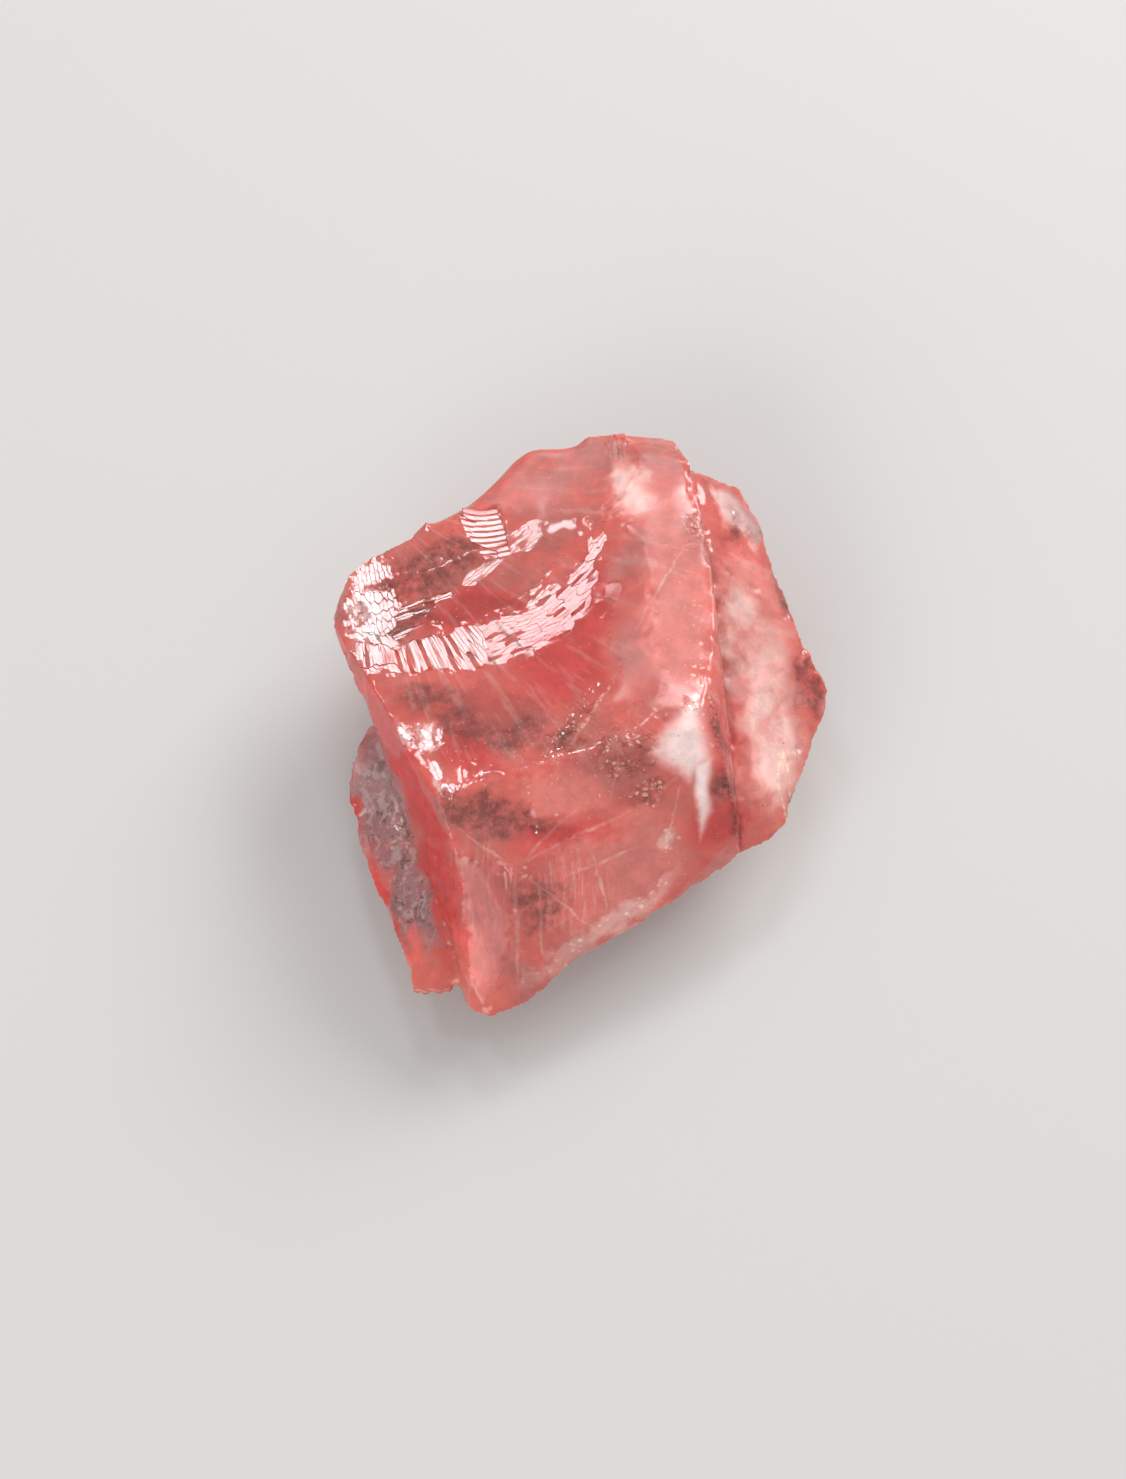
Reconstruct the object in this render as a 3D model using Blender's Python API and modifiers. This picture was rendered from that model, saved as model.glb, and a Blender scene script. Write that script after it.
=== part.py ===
"""A broken lump of translucent pink-red rhodochrosite, lying on its flattest fracture face.

The lump is one stone, so it is one object. It is made the way the stone broke. Three blunt
blocks grew as one: the main mass, the terrace on its right and the thin shelf at its lower
left. Every fracture takes a shell-shaped bite out of its block. Each bite is a turned cutter
whose rings centre on the point where the blow fell.

Metres, +Z up. The origin is on the ground under the middle of the lump. +X is its right and
+Y its far side.
"""

import math

import bmesh
import bpy
from mathutils import Matrix, Vector

MM = 0.001
MIDDLE = Vector((0.35, 0.40, 0.0))  # mm, the middle of the lump, which becomes the origin

# The corners of the three blocks, in millimetres.
# Main mass: the crest along its left edge and the ridge along its right edge.
MAIN_CREST = [
    (-19.2, 10.0, 17.0),
    (-18.7, 3.0, 18.0),
    (-16.6, -0.7, 18.6),
    (-13.6, -5.3, 19.2),
    (-11.2, -10.2, 18.9),
]
MAIN_RIDGE = [
    (14.2, -9.6, 13.4),
    (12.9, -6.4, 16.8),
    (11.4, -3.2, 18.6),
    (10.5, 0.3, 19.4),
    (10.6, 6.0, 19.5),
    (11.7, 14.3, 18.6),
]
# Main mass: the waste over the near faces, which the fractures there take away.
MAIN_BROW = [
    (-6.0, -17.0, 16.6),
    (4.0, -13.5, 17.6),
]
MAIN_FAR_RIM = [
    (10.2, 23.4, 16.4),
    (8.9, 26.3, 14.6),
    (2.1, 26.9, 15.0),
    (-5.0, 26.3, 15.0),
    (-7.2, 24.4, 15.0),
    (-19.1, 15.2, 14.3),
    (-21.0, 13.0, 13.8),
    (-22.4, 9.3, 13.0),
]
# Main mass: the edge that the left and the near faces end on, above the undercut.
MAIN_WAIST = [
    (-21.2, 6.6, 12.0),
    (-18.6, 1.0, 11.0),
    (-16.6, -4.4, 10.5),
    (-14.6, -8.3, 10.0),
    (-12.8, -13.0, 9.0),
    (-11.1, -23.7, 6.5),
    (-10.1, -25.0, 6.8),
    (-7.6, -26.0, 7.2),
    (-4.9, -25.3, 7.6),
    (-0.4, -23.0, 8.2),
    (3.9, -19.3, 8.8),
    (8.9, -14.5, 9.0),
    (14.6, -11.5, 9.0),
]
# Main mass: its underside, which the ground cut takes off at z = 0.
MAIN_FOOT = [
    (-15.6, 9.0, -1.0),
    (-11.5, 15.5, -1.0),
    (-4.0, 20.5, -1.0),
    (6.5, 20.6, -1.0),
    (11.5, 17.0, -1.0),
    (14.0, 8.0, -1.0),
    (13.0, -3.0, -1.0),
    (8.0, -9.5, -1.0),
    (-1.0, -15.0, -1.0),
    (-7.0, -18.0, -1.0),
    (-12.0, -14.0, -1.0),
    (-15.0, -3.0, -1.0),
]
# Terrace on the right: its outer rim, its root inside the main mass, and its underside.
TERRACE_RIM = [
    (9.8, 24.0, 15.4),
    (15.1, 22.7, 12.4),
    (16.4, 20.2, 11.8),
    (17.7, 16.2, 11.2),
    (19.3, 12.0, 10.6),
    (20.9, 9.8, 10.2),
    (21.4, 7.0, 10.0),
    (23.1, 3.7, 9.4),
    (22.7, 1.6, 9.0),
    (20.7, -2.6, 8.8),
    (19.4, -7.8, 8.4),
    (17.5, -9.9, 8.4),
    (14.6, -11.5, 9.2),
]
TERRACE_ROOT = [
    (9.0, 14.0, 17.6),
    (9.0, 0.0, 17.0),
    (11.6, -6.0, 14.6),
    (8.0, 20.0, 1.5),
    (14.5, 15.0, 0.5),
    (17.5, 7.0, 0.5),
    (17.0, -1.5, 1.0),
    (10.0, -8.0, 1.5),
]
# Shelf at the lower left: its thin outer rim, its root inside the main mass, and its underside.
SHELF_RIM = [
    (-20.1, 0.8, 8.0),
    (-21.4, -4.7, 5.6),
    (-20.8, -6.9, 5.2),
    (-19.7, -11.1, 5.0),
    (-16.9, -16.9, 5.0),
    (-15.5, -20.4, 5.2),
    (-15.2, -23.2, 5.6),
    (-14.7, -23.7, 5.6),
    (-11.4, -23.6, 6.2),
]
SHELF_ROOT = [
    (-17.0, 2.5, 9.6),
    (-12.0, -8.0, 8.6),
    (-9.5, -20.0, 7.4),
    (-16.5, 1.0, 3.0),
    (-17.0, -9.0, 1.8),
    (-12.5, -19.0, 2.2),
]

# Fractures. Each is where the blow fell, the way the broken face looks, how far it runs, how
# deep the hollow behind the blow is, the radius that the face curves back up on, and its
# ripples as height and spacing, all in millimetres.
MAIN_FRACTURES = {
    "great_hollow": dict(
        blow=(-11.6, 19.6, 15.5), facing=(-0.03, -0.085, 1.0), reach=36.0, hollow=1.2,
        curve=60.0, ripple=(0.12, 7.4),
    ),
    "pale_face": dict(
        blow=(11.4, 17.8, 17.2), facing=(-0.029, 0.104, 0.994), reach=32.0, hollow=0.5,
        curve=260.0, ripple=(0.05, 9.0),
    ),
    "pale_step": dict(
        blow=(1.5, -4.4, 18.5), facing=(-0.056, -0.390, 0.919), reach=24.0, hollow=0.3,
        curve=32.0, ripple=(0.04, 5.0),
    ),
    "dark_step": dict(
        blow=(-11.0, -9.6, 17.6), facing=(0.32, -0.322, 0.89), reach=11.0, hollow=0.3,
        curve=14.0, ripple=(0.04, 3.2),
    ),
    "near_right_face": dict(
        blow=(13.5, -9.0, 13.8), facing=(0.243, -0.629, 0.738), reach=34.0, hollow=0.4,
        curve=400.0, ripple=(0.06, 7.6),
    ),
    "near_left_face": dict(
        blow=(-11.2, -10.1, 18.3), facing=(-0.037, -0.588, 0.808), reach=27.0, hollow=0.3,
        curve=400.0, ripple=(0.03, 7.0),
    ),
    "wedge": dict(
        blow=(12.6, -6.6, 16.2), facing=(0.11, -0.50, 0.86), reach=22.0, hollow=0.3,
        curve=90.0, ripple=(0.03, 4.4),
    ),
    "ribbed_fan": dict(
        blow=(-7.4, 23.4, 14.7), facing=(-0.14, -0.02, 1.0), reach=8.4, hollow=0.6,
        curve=26.0, ripple=(0.07, 1.05),
    ),
    "orange_dish": dict(
        blow=(-3.6, 26.0, 14.7), facing=(0.0, 0.0, 1.0), reach=9.5, hollow=0.8,
        curve=22.0, ripple=(0.04, 4.4),
    ),
    "far_left_slope": dict(
        blow=(-13.0, 19.0, 14.1), facing=(-0.14, 0.14, 0.98), reach=10.0, hollow=0.6,
        curve=28.0, ripple=(0.03, 3.6),
    ),
    "corner_glint": dict(
        blow=(-21.2, 12.6, 14.3), facing=(-0.06, 0.14, 0.98), reach=8.5, hollow=0.4,
        curve=30.0, ripple=(0.05, 2.6),
    ),
    "left_wall": dict(
        blow=(-14.2, -5.0, 17.6), facing=(-0.87, -0.42, 0.25), reach=26.0, hollow=0.5,
        curve=110.0, ripple=(0.06, 7.0),
    ),
    "far_side": dict(
        blow=(2.5, 25.4, 10.2), facing=(0.05, 0.93, -0.36), reach=22.0, hollow=1.3,
        curve=30.0, ripple=(0.08, 5.2),
    ),
    "far_left_side": dict(
        blow=(-12.9, 19.0, 13.4), facing=(-0.54, 0.78, -0.33), reach=20.0, hollow=0.9,
        curve=24.0, ripple=(0.08, 4.6),
    ),
    "near_right_side": dict(
        blow=(4.9, -16.4, 5.8), facing=(0.48, -0.70, -0.53), reach=22.0, hollow=1.1,
        curve=44.0, ripple=(0.08, 4.8),
    ),
    "near_left_side": dict(
        blow=(-12.4, -19.5, 5.0), facing=(-0.62, -0.42, -0.66), reach=18.0, hollow=0.7,
        curve=40.0, ripple=(0.06, 4.4),
    ),
    "left_side": dict(
        blow=(-19.9, 4.4, 10.8), facing=(-0.87, -0.22, -0.44), reach=18.0, hollow=0.8,
        curve=26.0, ripple=(0.08, 4.6),
    ),
}
TERRACE_FRACTURES = {
    "terrace_dish": dict(
        blow=(12.4, 15.0, 15.3), facing=(0.36, -0.14, 0.92), reach=32.0, hollow=0.8,
        curve=200.0, ripple=(0.06, 7.0),
    ),
    "far_right_bevel": dict(
        blow=(11.4, 22.4, 14.2), facing=(0.46, 0.26, 0.85), reach=9.5, hollow=0.5,
        curve=24.0, ripple=(0.05, 3.2),
    ),
    "right_notch": dict(
        blow=(21.5, 6.8, 9.6), facing=(0.86, 0.50, -0.10), reach=7.0, hollow=0.35,
        curve=14.0, ripple=(0.03, 2.6),
    ),
    "far_right_notch": dict(
        blow=(18.8, 13.0, 9.9), facing=(0.92, 0.38, -0.10), reach=9.0, hollow=0.35,
        curve=24.0, ripple=(0.03, 2.8),
    ),
    "right_side": dict(
        blow=(21.6, 7.5, 8.2), facing=(0.80, 0.26, -0.54), reach=17.0, hollow=1.0,
        curve=28.0, ripple=(0.07, 4.6),
    ),
    "right_near_side": dict(
        blow=(20.6, -2.6, 8.0), facing=(0.84, -0.30, -0.45), reach=15.0, hollow=0.5,
        curve=24.0, ripple=(0.06, 4.4),
    ),
    "right_far_side": dict(
        blow=(15.8, 20.6, 9.6), facing=(0.66, 0.62, -0.42), reach=15.0, hollow=0.7,
        curve=28.0, ripple=(0.06, 4.2),
    ),
}
SHELF_FRACTURES = {
    "shelf_notch": dict(
        blow=(-16.4, -18.4, 5.0), facing=(-0.88, -0.36, 0.0), reach=7.0, hollow=0.3,
        curve=20.0, ripple=(0.03, 2.4),
    ),
    "shelf_upper": dict(
        blow=(-20.4, -0.8, 7.0), facing=(-0.40, 0.0, 0.90), reach=11.0, hollow=0.7,
        curve=26.0, ripple=(0.10, 2.8),
    ),
    "shelf_lower": dict(
        blow=(-19.0, -12.2, 5.6), facing=(-0.36, -0.06, 0.93), reach=14.0, hollow=0.6,
        curve=34.0, ripple=(0.08, 3.4),
    ),
    "shelf_underside": dict(
        blow=(-19.5, -9.5, 4.2), facing=(-0.66, -0.30, -0.69), reach=18.0, hollow=0.6,
        curve=50.0, ripple=(0.05, 4.6),
    ),
}

RINGS_PER_RIPPLE = 4  # rings that each ripple of a cutter is drawn with
TURNS = 34  # sides of a turned cutter
BULB_SHARE = 0.2  # the hollow's width as a share of how far the fracture runs
CUTTER_TOP = 34.0  # mm, tall enough to clear the lump
GROUND_WIDTH = 120.0  # mm, the cube of ground that the lump is cut off flat on
MERGE_DISTANCE = 0.00001  # m, what joins the ends of a turned profile on its axis
BLOCK_PARTING = 1  # times that a block's faces are halved before they wander
UNEVEN = 0.35  # mm, how far a broken face wanders from its true curve
UNEVEN_GRAIN = 7.0  # mm, the size of that wandering

STONE_COLOUR = (0.72, 0.13, 0.11, 1.0)
STONE_ROUGHNESS = 0.16
STONE_IOR = 1.6
STONE_TRANSMISSION = 0.5


def clear_scene():
    for old in list(bpy.data.objects):
        bpy.data.objects.remove(old, do_unlink=True)


def new_collection(name):
    collection = bpy.data.collections.new(name)
    bpy.context.scene.collection.children.link(collection)
    return collection


def stone_material():
    material = bpy.data.materials.new("rhodochrosite")
    material.use_nodes = True
    shader = material.node_tree.nodes["Principled BSDF"]
    shader.inputs["Base Color"].default_value = STONE_COLOUR
    shader.inputs["Roughness"].default_value = STONE_ROUGHNESS
    shader.inputs["Metallic"].default_value = 0.0
    shader.inputs["IOR"].default_value = STONE_IOR
    shader.inputs["Transmission Weight"].default_value = STONE_TRANSMISSION
    return material


def placed(name, shape, collection):
    """An object that holds a finished bmesh."""
    mesh = bpy.data.meshes.new(name)
    shape.to_mesh(mesh)
    shape.free()
    found = bpy.data.objects.new(name, mesh)
    collection.objects.link(found)
    return found


def block(name, corners, collection):
    """The convex solid round a set of corners."""
    shape = bmesh.new()
    for corner in corners:
        shape.verts.new((Vector(corner) - MIDDLE) * MM)
    made = bmesh.ops.convex_hull(shape, input=shape.verts)
    spare = made["geom_interior"] + made["geom_unused"]
    inner = {corner for corner in spare if isinstance(corner, bmesh.types.BMVert)}
    bmesh.ops.delete(shape, geom=list(inner), context="VERTS")
    bmesh.ops.recalc_face_normals(shape, faces=shape.faces)
    return placed(name, shape, collection)


def as_cutter(helper):
    helper.hide_render = True
    helper.display_type = "WIRE"


def face_height(r, reach, hollow, curve, ripple):
    """Height of a broken face over the blow, at r from it: down into the hollow, then up again."""
    bulb = BULB_SHARE * reach
    height, spacing = ripple
    wave = height * math.cos(2 * math.pi * r / spacing) * min(1.0, r / spacing)
    return r * r / (2 * curve) - hollow * (1 - math.exp(-((r / bulb) ** 2))) + wave


def fracture_cutter(name, collection, blow, facing, reach, hollow, curve, ripple):
    """The waste that one blow takes off: a turned solid whose lower side is the broken face."""
    rings = math.ceil(RINGS_PER_RIPPLE * reach / ripple[1])
    profile = [(0.0, CUTTER_TOP), (reach, CUTTER_TOP)]
    for i in range(rings, -1, -1):
        r = reach * i / rings
        profile.append((r, face_height(r, reach, hollow, curve, ripple)))
    mesh = bpy.data.meshes.new(name)
    points = [(r * MM, 0.0, z * MM) for r, z in profile]
    mesh.from_pydata(points, [(i, i + 1) for i in range(len(points) - 1)], [])
    cutter = bpy.data.objects.new(name, mesh)
    collection.objects.link(cutter)

    turn = cutter.modifiers.new("turn", "SCREW")
    turn.steps = TURNS
    turn.render_steps = TURNS
    turn.use_merge_vertices = True
    turn.merge_threshold = MERGE_DISTANCE

    up = Vector(facing).normalized()
    side = Vector((1.0, 0.0, 0.0))
    side = (side - up * side.dot(up)).normalized()
    basis = Matrix((side, up.cross(side), up)).transposed().to_4x4()
    cutter.matrix_world = Matrix.Translation((Vector(blow) - MIDDLE) * MM) @ basis
    as_cutter(cutter)
    return cutter


def ground_cutter(collection):
    """Everything under the ground, so the lump stands on one flat face."""
    shape = bmesh.new()
    bmesh.ops.create_cube(shape, size=GROUND_WIDTH * MM)
    bmesh.ops.translate(shape, verts=shape.verts, vec=(0.0, 0.0, -GROUND_WIDTH * MM / 2))
    cutter = placed("ground", shape, collection)
    as_cutter(cutter)
    return cutter


def roughen(rough, wander):
    """Lets faces wander a little, since no broken face is a true plane or bowl."""
    uneven = rough.modifiers.new("uneven", "DISPLACE")
    uneven.texture = wander
    uneven.texture_coords = "GLOBAL"
    uneven.strength = UNEVEN * MM


def combine(stone, other, operation):
    step = stone.modifiers.new(other.name, "BOOLEAN")
    step.object = other
    step.operation = operation
    step.solver = "EXACT"


def fracture(stone, fractures, helpers, wander):
    """Roughens a block, then takes each of its fractures out of it."""
    parting = stone.modifiers.new("parting", "SUBSURF")
    parting.subdivision_type = "SIMPLE"
    parting.levels = BLOCK_PARTING
    parting.render_levels = BLOCK_PARTING
    roughen(stone, wander)
    for name, facts in fractures.items():
        cutter = fracture_cutter(name, helpers, **facts)
        roughen(cutter, wander)
        combine(stone, cutter, "DIFFERENCE")


def main():
    clear_scene()
    part = new_collection("rhodochrosite_specimen")
    helpers = new_collection("cutters")
    wander = bpy.data.textures.new("wander", "CLOUDS")
    wander.noise_scale = UNEVEN_GRAIN * MM

    corners = MAIN_CREST + MAIN_RIDGE + MAIN_BROW + MAIN_FAR_RIM + MAIN_WAIST + MAIN_FOOT
    stone = block("rhodochrosite_lump", corners, part)
    stone.data.materials.append(stone_material())
    fracture(stone, MAIN_FRACTURES, helpers, wander)

    terrace = block("terrace", TERRACE_RIM + TERRACE_ROOT, helpers)
    fracture(terrace, TERRACE_FRACTURES, helpers, wander)
    shelf = block("shelf", SHELF_RIM + SHELF_ROOT, helpers)
    fracture(shelf, SHELF_FRACTURES, helpers, wander)
    for grown in (terrace, shelf):
        as_cutter(grown)
        combine(stone, grown, "UNION")
    combine(stone, ground_cutter(helpers), "DIFFERENCE")


main()
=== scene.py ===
"""The looks of a broken lump of translucent pink-red rhodochrosite.

The lump is one stone, so one mesh stands for its one CAD node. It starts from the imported
node. Its faces are relaxed between the creases where two fractures meet, and the fractures'
fine relief is laid on them: rings round each blow, fine ridges, the ribs of the fan, slivers
that mirror the windows and chipped edges. The tables and the shader work in millimetres, in
the frame's axes.
"""

import itertools
import math

import bmesh
import bpy
import numpy as np
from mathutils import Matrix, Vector, kdtree


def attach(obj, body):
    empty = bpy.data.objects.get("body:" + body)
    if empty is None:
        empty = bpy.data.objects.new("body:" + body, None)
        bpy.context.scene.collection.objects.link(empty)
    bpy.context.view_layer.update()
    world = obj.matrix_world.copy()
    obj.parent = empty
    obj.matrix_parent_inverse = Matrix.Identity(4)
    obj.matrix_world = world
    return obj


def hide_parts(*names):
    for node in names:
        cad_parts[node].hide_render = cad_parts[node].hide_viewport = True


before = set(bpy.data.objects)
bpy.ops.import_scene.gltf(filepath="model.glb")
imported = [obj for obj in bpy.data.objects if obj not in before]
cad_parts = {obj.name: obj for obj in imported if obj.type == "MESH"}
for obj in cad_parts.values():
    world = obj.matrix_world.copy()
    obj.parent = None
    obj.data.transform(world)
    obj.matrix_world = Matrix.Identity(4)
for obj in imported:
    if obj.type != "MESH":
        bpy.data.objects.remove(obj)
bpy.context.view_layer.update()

MM = 0.001
NODE = "rhodochrosite_lump"

# --- the camera and the windows, lamps and floor, in millimetres -------------------------------
PHOTO_HEIGHT = 1479  # pixels
FOCAL = 2136.0  # the focal length in those pixels
CAMERA_RISE = math.radians(76.0)
CAMERA_AWAY = 194.0
TARGET = Vector((-1.65, -1.40, 10.0))
CAMERA = TARGET + CAMERA_AWAY * Vector((0.0, -math.cos(CAMERA_RISE), math.sin(CAMERA_RISE)))

WINDOW_AWAY = 800.0
LEFT, RIGHT = "window_left", "window_right"
# Each soft box: the way to it from the stone, its half width and height in degrees, its radiance.
WINDOWS = {
    LEFT: ((-0.30, 0.45, 0.85), (4.2, 4.2), 13.0),
    RIGHT: ((0.00, 0.66, 0.75), (4.4, 4.4), 16.0),
}
WINDOW_COLOUR = (0.94, 0.97, 1.0)
# The lamps: place, width and height, radiance.
KEY = ((450.0, 560.0, 490.0), (500.0, 360.0), 10.8)
FILL = ((-400.0, -560.0, 410.0), (700.0, 400.0), 3.0)
WORLD_COLOUR = (1.0, 0.99, 0.98, 1.0)
WORLD_STRENGTH = 0.64
FLOOR_COLOUR = (0.52, 0.51, 0.50, 1.0)
FLOOR_ROUGHNESS = 0.7
FLOOR_HALF = 1500.0  # half of the floor's side
FLOOR_DROP = 0.02  # how far the floor lies below the base, so that the two aren't in one plane

# --- the mesh ---------------------------------------------------------------------------------
GRID = 0.24  # the voxel that the fine mesh is made on
SPLITS = 2  # how often the faces under the glints are halved
TRIANGLE_BUDGET = 190_000
MERGE = 0.000001  # m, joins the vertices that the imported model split
SHORTEST = 20 * MERGE  # m, shorter edges are dissolved
CREASE_ANGLE = math.radians(12.0)  # two faces that meet at more than this are two fractures
CREASE_STEP = 0.1  # how closely the creases are sampled
CREASE_NEAR = 0.16  # what lies nearer than this to a crease holds still
CREASE_FAR = 0.9  # what lies further than this relaxes freely
RELAX_ROUNDS = 160
RELAX_STEP = 0.5
NOISE_TABLE = 4096  # how many values the noise draws from
NOISE_PRIMES = np.array((73856093, 19349663, 83492791))
CELL_TABLE = 65521  # how many cells of slivers have a place of their own
CELL_MARGIN = 0.1  # how near a cell's middle comes to its edge, as a share of it
FACES_UP = 0.6  # the least upward part of a normal for the relief of the top
FLAT_UP = 0.3  # the least upward part of a normal for the flat facets of the glints

STEEPEST = 0.38  # a sliver isn't made where it would lean more than this from the face
DEEPEST = 0.35  # the most that a sliver cuts into the face or stands above it
NO_MISS = 0.025  # a patch whose slopes vary no more than this has no misses
MISSED = 0.18  # in the others, the share of the slivers that miss their window
MISS_TILT = 0.11  # how far those lean away from it, as a slope
OUTLINE_SEED = 40  # the first glint's seeds, for its outline and its slivers
SLIVER_SEED = 60
RAGGED = 0.55  # how ragged the outline of a glint is
RAGGED_GRAIN = 1.6

# Where blows fell, seen from above.
GREAT_BLOW = (-12.0, 19.4)
TERRACE_BLOW = (12.0, 14.6)
NEAR_BLOW = (12.6, -6.5)
# The solid's own ribs of the fan lie within this reach of this point, above this height.
RIB_FAN = (-7.75, 23.0)
RIB_FAN_REACH = 8.2
RIB_FAN_FLOOR = 10.0

# Uneven places: how far they stray, the grain of it and a seed.
SKIN_STRAY = (0.015, 3.0, 11)
STRIP_INNER_STRAY = (0.9, 1.5, 21)
STRIP_OUTER_STRAY = (0.5, 1.2, 27)
STRIP_PARTING_STRAY = (8.0, 2.0, 24)
FAN_STRAY = (0.25, 3.0, 25)

# The strip's inner and outer radius by bearing from the great blow.
STRIP_BEARINGS = (-122.0, -118.0, -106.0, -85.0, -66.0, -49.0, -38.0, -24.0, -9.0, -5.0)
STRIP_INNER = (16.0, 15.2, 13.6, 12.0, 11.6, 12.4, 12.6, 13.2, 13.8, 14.0)
STRIP_OUTER = (16.4, 17.2, 16.0, 15.6, 15.9, 16.2, 16.0, 14.8, 14.3, 14.0)
STRIP_PARTING = -76.0  # the bearing where the strip turns from one window to the other
STRIP_RADIUS = 14.0  # turns bearings round the great blow into lengths
HACKLE_SOURCE = (-21.0, 22.0)  # where its left part's slivers run from
HACKLE_RADIUS = 18.0  # turns bearings round that point into lengths
# Its slivers: size along and across, window, jitter of their slope and a seed.
STRIP_RIGHT_SLIVERS = ((0.36, 1.5), LEFT, 0.03, 22)
STRIP_LEFT_SLIVERS = ((4.0, 0.30), RIGHT, 0.045, 23)
# The swell outside the strip, which turns the hollow away from the windows.
SWELL_RADII = (15.8, 16.6, 19.4, 28.0)
SWELL_HEIGHTS = (0.0, 0.03, 0.34, 0.22)
SWELL_STARTS = (-115.0, -90.0)  # the bearings over which it rises
SWELL_ENDS = (-45.0, -20.0)  # and over which it falls again
# The pale face on the right leans a little toward the camera: its slope and its soft edges.
PALE_LEAN = 0.035
PALE_LEFT = (3.5, 6.0)
PALE_RIGHT = (10.0, 11.5)
PALE_NEAR = (-2.0, 3.0)
PALE_FAR = (14.0, 20.0)
PALE_MIDDLE = 8.0
# The fan: ribs that ring a point beyond the edge, between two radii.
FAN_BLOW = (-9.6, 25.6)
FAN_RADII = (6.4, 11.6)
FAN_LEFT = (-105.0, 20.0)  # the bearing of its left side, and how much that turns outward
FAN_RIGHT = (-72.0, -2.0)
FAN_RADIUS = 9.0  # turns bearings round that point into lengths
FAN_SLIVERS = ((2.4, 4.0), RIGHT, 0.02, 26)
FAN_RIB = 0.56
GROOVE_SHARE = 0.16  # half of the share of a rib that the groove between ribs takes
GROOVE_DEPTH = 0.05
# Chipped edges: how far from a crease they fade, how deep and coarse they are, and a seed.
CHIP_REACH = 0.45
CHIP_DEPTH = 0.28
CHIP_GRAIN = 1.1
CHIP_SEED = 31
CHIP_LEAST = 0.05  # the noise that is lower than this makes no chip
BASE_TOP = 0.02  # what is lower than this is the base and stays flat

# Rings fade over this many degrees at their ends, and stray by this share of their spacing.
RING_FADE = 12.0
RING_STRAY = 0.35
RING_GRAIN = 2.5  # in spacings
# Rings: the blow, the radii and bearings that they run between, spacing, height and a seed.
RIPPLES = [
    (GREAT_BLOW, (3.0, 12.0), (-150.0, 10.0), 2.6, 0.015, 1),
    (GREAT_BLOW, (17.0, 27.0), (-150.0, 10.0), 3.4, 0.020, 2),
    (TERRACE_BLOW, (4.0, 28.0), (-110.0, -40.0), 4.0, 0.030, 5),
    (NEAR_BLOW, (5.0, 26.0), (-180.0, -100.0), 2.8, 0.020, 6),
]
STRIAE_FADE = (0.5, 1.2)  # the shares of their half sizes between which striae fade
STRIAE_STRAY = 0.8  # how far they stray, as a share of their spacing
STRIAE_GRAIN = 3.0
STRIAE_SHOWN = 0.5  # how strong they are on average. They come and go by this grain:
SHOWN_GRAIN = 1.2
# Striae: fine straight ridges. Centre, half sizes, the way they run, spacing, height, seed.
STRIAE = [
    ((-8.4, -17.0), (3.2, 6.5), 94.0, 0.55, 0.022, 81),
    ((0.6, -13.4), (6.4, 2.0), 28.0, 0.70, 0.045, 82),
    ((3.0, -18.0), (6.0, 2.2), 40.0, 0.80, 0.050, 83),
    ((6.8, 14.0), (3.0, 6.0), 62.0, 0.60, 0.012, 84),
    ((-7.0, 0.4), (7.0, 2.6), 160.0, 0.90, 0.015, 85),
]
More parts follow.
